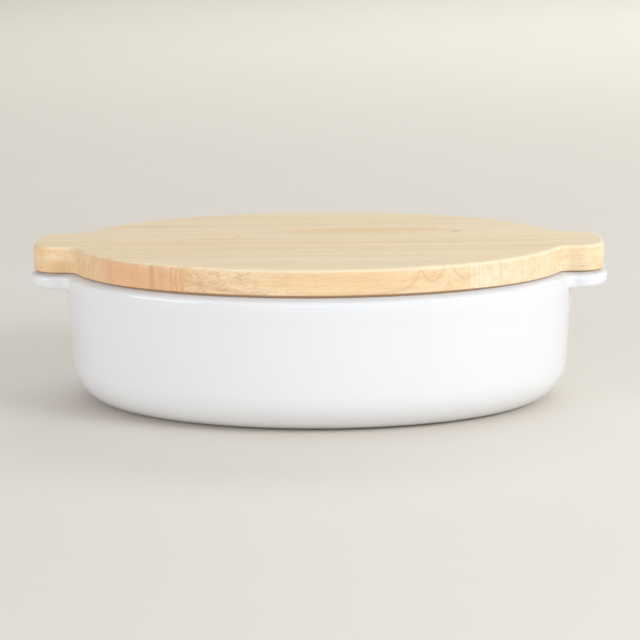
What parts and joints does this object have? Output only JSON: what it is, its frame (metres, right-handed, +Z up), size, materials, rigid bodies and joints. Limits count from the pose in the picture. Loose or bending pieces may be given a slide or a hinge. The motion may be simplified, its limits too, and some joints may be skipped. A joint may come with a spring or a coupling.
{
  "type": "covered casserole dish",
  "caption": "Low oval casserole dish in white glazed stoneware with flat tab handles, closed by a lift-off wooden board lid of the same outline.",
  "frame": {"origin": "centre of the dish's foot, on the surface that it stands on", "axes": "+X along the dish from handle to handle, +Y to the back, +Z up"},
  "size_m": [0.326, 0.203, 0.091],
  "materials": {
    "glaze": "glossy white glaze, bare clay on the foot ring",
    "lid_wood": "pale straight-grained rubberwood, sanded and lightly oiled"
  },
  "bodies": {
    "dish": {"dish": "glaze"},
    "lid": {"lid_stave_1": "lid_wood", "lid_stave_2": "lid_wood", "lid_stave_3": "lid_wood", "lid_stave_4": "lid_wood", "lid_stave_5": "lid_wood", "lid_stave_6": "lid_wood"}
  },
  "joints": [
    {"name": "lid_lift", "type": "slide", "parent": "dish", "child": "lid", "axis": [0, 0, 1], "range_m": [0, 0.15]}
  ]
}
